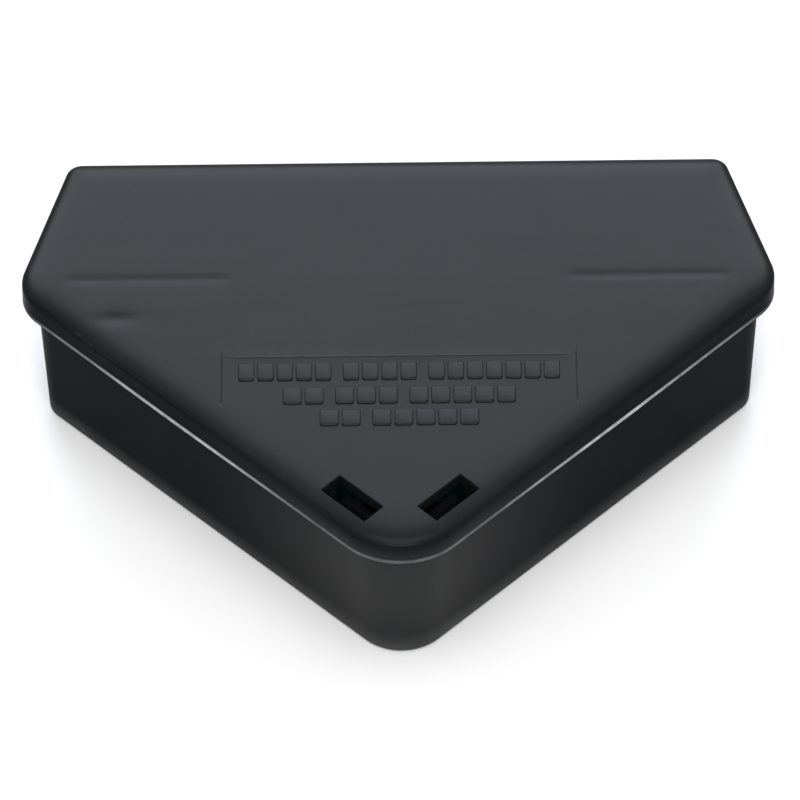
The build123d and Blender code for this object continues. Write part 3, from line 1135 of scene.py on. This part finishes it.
@dataclass
class RaisedTiles:
    """Rows of plain raised tiles on the lid, laid out by a Geometry Nodes tree."""

    shell: LidShell
    rise: float = 0.28 * MM
    sunk: float = 0.3 * MM
    corner: float = 0.14
    corner_steps: int = 6
    gap: float = 0.6 * MM
    group_gap: float = 2.3 * MM
    rows: tuple[TileRow, ...] = (
        TileRow(-7.9 * MM, 4.6 * MM, 63.6 * MM, (5, 4, 7)),
        TileRow(-14.4 * MM, 4.4 * MM, 46.0 * MM, (2, 3, 5)),
        TileRow(-20.4 * MM, 4.2 * MM, 31.4 * MM, (2, 5)),
    )

    def layout(self) -> bpy.types.Object:
        """Set out one point for each tile, carrying the tile's width and depth.

        Returns:
            The points, as an object without faces.
        """
        places, sizes = [], []
        for row in self.rows:
            total, breaks = sum(row.groups), len(row.groups) - 1
            tile = (row.width - self.gap * (total - 1 - breaks) - self.group_gap * breaks) / total
            x = -row.width / 2
            for count in row.groups:
                for _ in range(count):
                    places.append((x + tile / 2, row.y, self.shell.top_z))
                    sizes.append((tile, row.depth, 1.0))
                    x += tile + self.gap
                x += self.group_gap - self.gap
        mesh = bpy.data.meshes.new("lid_tiles")
        mesh.from_pydata(places, [], [])
        size = mesh.attributes.new("tile_size", "FLOAT_VECTOR", "POINT")
        for i, value in enumerate(sizes):
            size.data[i].vector = value
        piece = bpy.data.objects.new("lid_tiles", mesh)
        bpy.context.scene.collection.objects.link(piece)
        return piece

    def blank(self) -> bpy.types.Object:
        """Shape one tile, a unit wide and deep, with rounded corners and a rounded top edge.

        Returns:
            The tile that every point gets a copy of.
        """
        rounded = ((0.0, 0.4), (0.012, 0.75), (0.035, 0.94), (0.07, 1.0))
        levels = [(0.0, -self.sunk)] + [(shrink, self.rise * share) for shrink, share in rounded]
        step = 90 / self.corner_steps
        around = np.radians(np.arange(0, 360, step) + step / 2)
        verts = []
        for shrink, z in levels:
            reach, half = self.corner, 0.5 - shrink - self.corner
            for a in around:
                c, s = math.cos(a), math.sin(a)
                verts.append((math.copysign(half, c) + reach * c, math.copysign(half, s) + reach * s, z))
        n = len(around)
        faces: list[tuple[int, ...]] = [tuple(range(n))[::-1], tuple(range(4 * n, 5 * n))]
        for k in range(len(levels) - 1):
            low, high = n * k, n * (k + 1)
            faces += [(low + i, low + (i + 1) % n, high + (i + 1) % n, high + i) for i in range(n)]
        return settle("tile_blank", verts, faces, 1e-9)

    def tree(self, material: bpy.types.Material) -> bpy.types.NodeTree:
        """Nodes that set a tile on every point of the layout.

        Args:
            material: finish that the tiles get.

        Returns:
            The node group.
        """
        group = bpy.data.node_groups.new("set_tiles", "GeometryNodeTree")
        face = group.interface
        face.new_socket("Layout", in_out="INPUT", socket_type="NodeSocketGeometry")
        face.new_socket("Tile", in_out="INPUT", socket_type="NodeSocketObject")
        face.new_socket("Rise Scale", in_out="INPUT", socket_type="NodeSocketFloat").default_value = 1.0
        face.new_socket("Tiles", in_out="OUTPUT", socket_type="NodeSocketGeometry")
        new, link = group.nodes.new, group.links.new
        source, out = new("NodeGroupInput"), new("NodeGroupOutput")
        tile, size = new("GeometryNodeObjectInfo"), new("GeometryNodeInputNamedAttribute")
        size.data_type = "FLOAT_VECTOR"
        size.inputs["Name"].default_value = "tile_size"
        scale = new("ShaderNodeVectorMath")
        scale.operation = "MULTIPLY"
        up = new("ShaderNodeCombineXYZ")
        up.inputs["X"].default_value = 1.0
        up.inputs["Y"].default_value = 1.0
        link(source.outputs["Rise Scale"], up.inputs["Z"])
        link(size.outputs["Attribute"], scale.inputs[0])
        link(up.outputs["Vector"], scale.inputs[1])
        put, real = new("GeometryNodeInstanceOnPoints"), new("GeometryNodeRealizeInstances")
        dress = new("GeometryNodeSetMaterial")
        dress.inputs["Material"].default_value = material
        link(source.outputs["Layout"], put.inputs["Points"])
        link(source.outputs["Tile"], tile.inputs["Object"])
        link(tile.outputs["Geometry"], put.inputs["Instance"])
        link(scale.outputs["Vector"], put.inputs["Scale"])
        link(put.outputs["Instances"], real.inputs["Geometry"])
        link(real.outputs["Geometry"], dress.inputs["Geometry"])
        link(dress.outputs["Geometry"], out.inputs["Tiles"])
        return group

    def build(self, material: bpy.types.Material) -> bpy.types.Object:
        """Build the tiles as one plain mesh.

        Args:
            material: finish that the tiles get.

        Returns:
            The tiles.
        """
        piece, blank = self.layout(), self.blank()
        nodes = piece.modifiers.new("set_tiles", "NODES")
        nodes.node_group = self.tree(material)
        key = {item.name: item.identifier for item in nodes.node_group.interface.items_tree
               if item.in_out == "INPUT"}
        nodes[key["Tile"]] = blank
        nodes[key["Rise Scale"]] = 1.0
        bake(piece)
        bpy.data.objects.remove(blank)
        return piece


@dataclass
class Lid:
    """The whole lid: shell, fittings and tiles."""

    plastic: bpy.types.Material
    body: str = "lid"
    node: str = "lid"

    def build(self) -> list[bpy.types.Object]:
        """Build and dress the lid's pieces and put them on the lid's body.

        Returns:
            The shell, the fittings and the tiles.
        """
        shell = LidShell()
        skin = shell.build()
        shade(skin, self.plastic, 30.0)
        fittings = LidFittings(shell).build()
        shade(fittings, self.plastic)
        tiles = RaisedTiles(shell).build(self.plastic)
        shade(tiles, self.plastic, 50.0)
        made = [skin, fittings, tiles]
        for piece in made:
            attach(piece, self.body)
            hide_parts(self.node)
        return made


# --------------------------------------------------------------------------
# Tray, latches, pins, rods and bait: CAD shapes with their finishes
# --------------------------------------------------------------------------


@dataclass
class KeptParts:
    """CAD nodes whose shape is right as it is, and the finish of each."""

    finishes: dict[str, bpy.types.Material]

    def dress(self) -> list[bpy.types.Object]:
        """Give every kept node its finish.

        Returns:
            The dressed nodes.
        """
        made = []
        for name, material in self.finishes.items():
            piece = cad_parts[name]
            piece.data.materials.clear()
            piece.data.materials.append(material)
            for face in piece.data.polygons:
                face.material_index = 0
            made.append(piece)
        return made


@dataclass
class GrainFlakes:
    """Husks and cracked grain that stand out of a bait block's faces."""

    hand: Hand
    density: float = 90000.0
    seed: int = 7
    flake: float = 0.62 * MM

    def tree(self, material: bpy.types.Material) -> bpy.types.NodeTree:
        """Nodes that scatter flakes over a surface, turned and sized at random.

        Args:
            material: finish that the flakes get.

        Returns:
            The node group.
        """
        group = bpy.data.node_groups.new("scatter_flakes_" + self.hand.word, "GeometryNodeTree")
        face = group.interface
        face.new_socket("Block", in_out="INPUT", socket_type="NodeSocketGeometry")
        face.new_socket("Density", in_out="INPUT", socket_type="NodeSocketFloat")
        face.new_socket("Flake Radius", in_out="INPUT", socket_type="NodeSocketFloat")
        face.new_socket("Seed", in_out="INPUT", socket_type="NodeSocketInt")
        face.new_socket("Flakes", in_out="OUTPUT", socket_type="NodeSocketGeometry")
        new, link = group.nodes.new, group.links.new
        source, out = new("NodeGroupInput"), new("NodeGroupOutput")
        spread, ball = new("GeometryNodeDistributePointsOnFaces"), new("GeometryNodeMeshIcoSphere")
        ball.inputs["Subdivisions"].default_value = 1
        put, real = new("GeometryNodeInstanceOnPoints"), new("GeometryNodeRealizeInstances")
        dress = new("GeometryNodeSetMaterial")
        dress.inputs["Material"].default_value = material
        size = new("FunctionNodeRandomValue")
        size.data_type = "FLOAT_VECTOR"
        size.inputs[0].default_value = (0.7, 0.5, 0.15)
        size.inputs[1].default_value = (1.5, 1.0, 0.32)
        link(source.outputs["Block"], spread.inputs["Mesh"])
        link(source.outputs["Density"], spread.inputs["Density"])
        link(source.outputs["Seed"], spread.inputs["Seed"])
        link(source.outputs["Seed"], size.inputs["Seed"])
        link(source.outputs["Flake Radius"], ball.inputs["Radius"])
        link(spread.outputs["Points"], put.inputs["Points"])
        link(spread.outputs["Rotation"], put.inputs["Rotation"])
        link(ball.outputs["Mesh"], put.inputs["Instance"])
        link(size.outputs[0], put.inputs["Scale"])
        link(put.outputs["Instances"], real.inputs["Geometry"])
        link(real.outputs["Geometry"], dress.inputs["Geometry"])
        link(dress.outputs["Geometry"], out.inputs["Flakes"])
        return group

    def build(self, material: bpy.types.Material) -> bpy.types.Object:
        """Scatter the flakes and put them on the block's body.

        Args:
            material: finish that the flakes get.

        Returns:
            The flakes of one block.
        """
        node = "bait_block_" + self.hand.word
        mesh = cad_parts[node].data.copy()
        piece = bpy.data.objects.new("bait_grain_" + self.hand.word, mesh)
        bpy.context.scene.collection.objects.link(piece)
        nodes = piece.modifiers.new("scatter", "NODES")
        nodes.node_group = self.tree(material)
        key = {item.name: item.identifier for item in nodes.node_group.interface.items_tree
               if item.in_out == "INPUT"}
        nodes[key["Density"]] = self.density
        nodes[key["Flake Radius"]] = self.flake
        nodes[key["Seed"]] = self.seed + self.hand.value
        bake(piece)
        shade(piece, material, 60.0)
        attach(piece, node)
        return piece


# --------------------------------------------------------------------------
# Studio
# --------------------------------------------------------------------------


@dataclass(frozen=True)
class SoftBox:
    """One large soft light, aimed at the station."""

    name: str
    at: tuple[float, float, float]
    size: tuple[float, float]
    power: float
    colour: tuple[float, float, float] = (1.0, 1.0, 1.0)
    aim: tuple[float, float, float] = (0.0, 0.0, 0.02)

    def build(self) -> bpy.types.Object:
        """Build the light.

        Returns:
            The light, aimed and in the scene.
        """
        data = bpy.data.lights.new(self.name, "AREA")
        data.shape = "RECTANGLE"
        data.size, data.size_y = self.size
        data.energy = self.power
        data.color = self.colour
        lamp = bpy.data.objects.new(self.name, data)
        lamp.location = self.at
        lamp.rotation_euler = (Vector(self.aim) - Vector(self.at)).to_track_quat("-Z", "Y").to_euler()
        lamp.visible_camera = False
        bpy.context.scene.collection.objects.link(lamp)
        return lamp


@dataclass
class Studio:
    """Floor, lights and camera."""

    camera_up: float = 46.8
    camera_yaw: float = -0.09
    camera_roll: float = -0.69
    camera_far: float = 2.4135
    field: float = 3.8183
    lift: float = 2.14 * MM
    side: float = 0.05 * MM
    look_y: float = 16.0 * MM
    surround: float = 0.70
    boxes: tuple[SoftBox, ...] = (
        SoftBox("back_box", (0.0, 0.765, 0.59), (0.80, 0.42), 6.1, (0.81, 0.87, 1.0)),
        SoftBox("top_box", (0.0, -0.25, 1.5), (0.7, 1.0), 7.0),
        SoftBox("front_box", (0.0, -1.0, 0.85), (0.9, 0.6), 9.0),
    )

    def floor(self) -> bpy.types.Object:
        """Lay a wide flat floor.

        Returns:
            The floor.
        """
        marks = (-6.0, -1.0, 1.0, 6.0)
        n = len(marks)
        verts = [(x, y, 0.0) for y in marks for x in marks]
        faces = [(n * r + i, n * r + i + 1, n * r + n + i + 1, n * r + n + i)
                 for r in range(n - 1) for i in range(n - 1)]
        piece = settle("floor", verts, faces)
        shade(piece, StudioPaper().make())
        return piece

    def lights(self) -> None:
        """Soft boxes and a low even surround."""
        for box in self.boxes:
            box.build()
        world = bpy.data.worlds.new("studio_air")
        world.use_nodes = True
        surround = world.node_tree.nodes["Background"].inputs
        surround["Color"].default_value = (1.0, 1.0, 1.0, 1.0)
        surround["Strength"].default_value = self.surround
        bpy.context.scene.world = world

    def camera(self) -> None:
        """Long lens, high in front, turned very slightly."""
        up, yaw, roll = (math.radians(v) for v in (self.camera_up, self.camera_yaw, self.camera_roll))
        ahead = Vector((math.sin(yaw) * math.cos(up), math.cos(yaw) * math.cos(up), -math.sin(up)))
        right = Vector((math.cos(yaw), -math.sin(yaw), 0.0))
        above = right.cross(ahead)
        right_r = math.cos(roll) * right + math.sin(roll) * above
        above_r = -math.sin(roll) * right + math.cos(roll) * above
        data = bpy.data.cameras.new("camera")
        data.sensor_width = 36.0
        data.lens = 18.0 / math.tan(math.radians(self.field / 2))
        data.clip_start, data.clip_end = 0.1, 50.0
        eye = bpy.data.objects.new("camera", data)
        place = Vector((0, self.look_y, 0)) - ahead * self.camera_far
        place += above_r * self.lift + right_r * self.side
        turn = Matrix((right_r, above_r, -ahead)).transposed().to_4x4()
        eye.matrix_world = Matrix.Translation(place) @ turn
        bpy.context.scene.collection.objects.link(eye)
        bpy.context.scene.camera = eye

    def build(self) -> None:
        """Build the whole studio."""
        self.floor()
        self.lights()
        self.camera()
        view = bpy.context.scene.view_settings
        view.view_transform = "Standard"
        view.look = "None"


def report(pieces: Sequence[bpy.types.Object]) -> None:
    """Log each piece's name and face count.

    Args:
        pieces: the pieces.
    """
    for piece in pieces:
        LOG.info("%s: %d faces", piece.name, len(piece.data.polygons))


def main() -> None:
    """Build the station, its finishes and the studio."""
    logging.basicConfig(level=logging.INFO, format="%(name)s %(message)s")
    shell = MouldedPlastic("black_shell_plastic").make()
    tray = MouldedPlastic("black_tray_plastic", gloss=(0.36, 0.46), foot_light_to=5.5 * MM,
                          always_matte=True, polish_roughness=0.41).make()
    latch = MouldedPlastic("black_latch_plastic", gloss=(0.28, 0.38), texture=0.05).make()
    pin = DrawnSteel("pin_steel", Grain.ALONG_X).make()
    rod = DrawnSteel("rod_steel", Grain.ALONG_Z).make()
    bait = WaxyBait("bait_wax").make()
    flakes = WaxyBait("bait_husk", wax=(0.10, 0.27, 0.22), husk=(0.30, 0.36, 0.20)).make()
    Studio().build()
    report(Lid(shell).build())
    finishes = {"base_tray": tray}
    for hand in Hand:
        finishes["hinge_pin_" + hand.word] = pin
        finishes["bait_rod_" + hand.word] = rod
        finishes["latch_" + hand.word] = latch
        finishes["bait_block_" + hand.word] = bait
    report(KeptParts(finishes).dress())
    for hand in Hand:
        report([GrainFlakes(hand).build(flakes)])


if __name__ == "__main__":
    main()
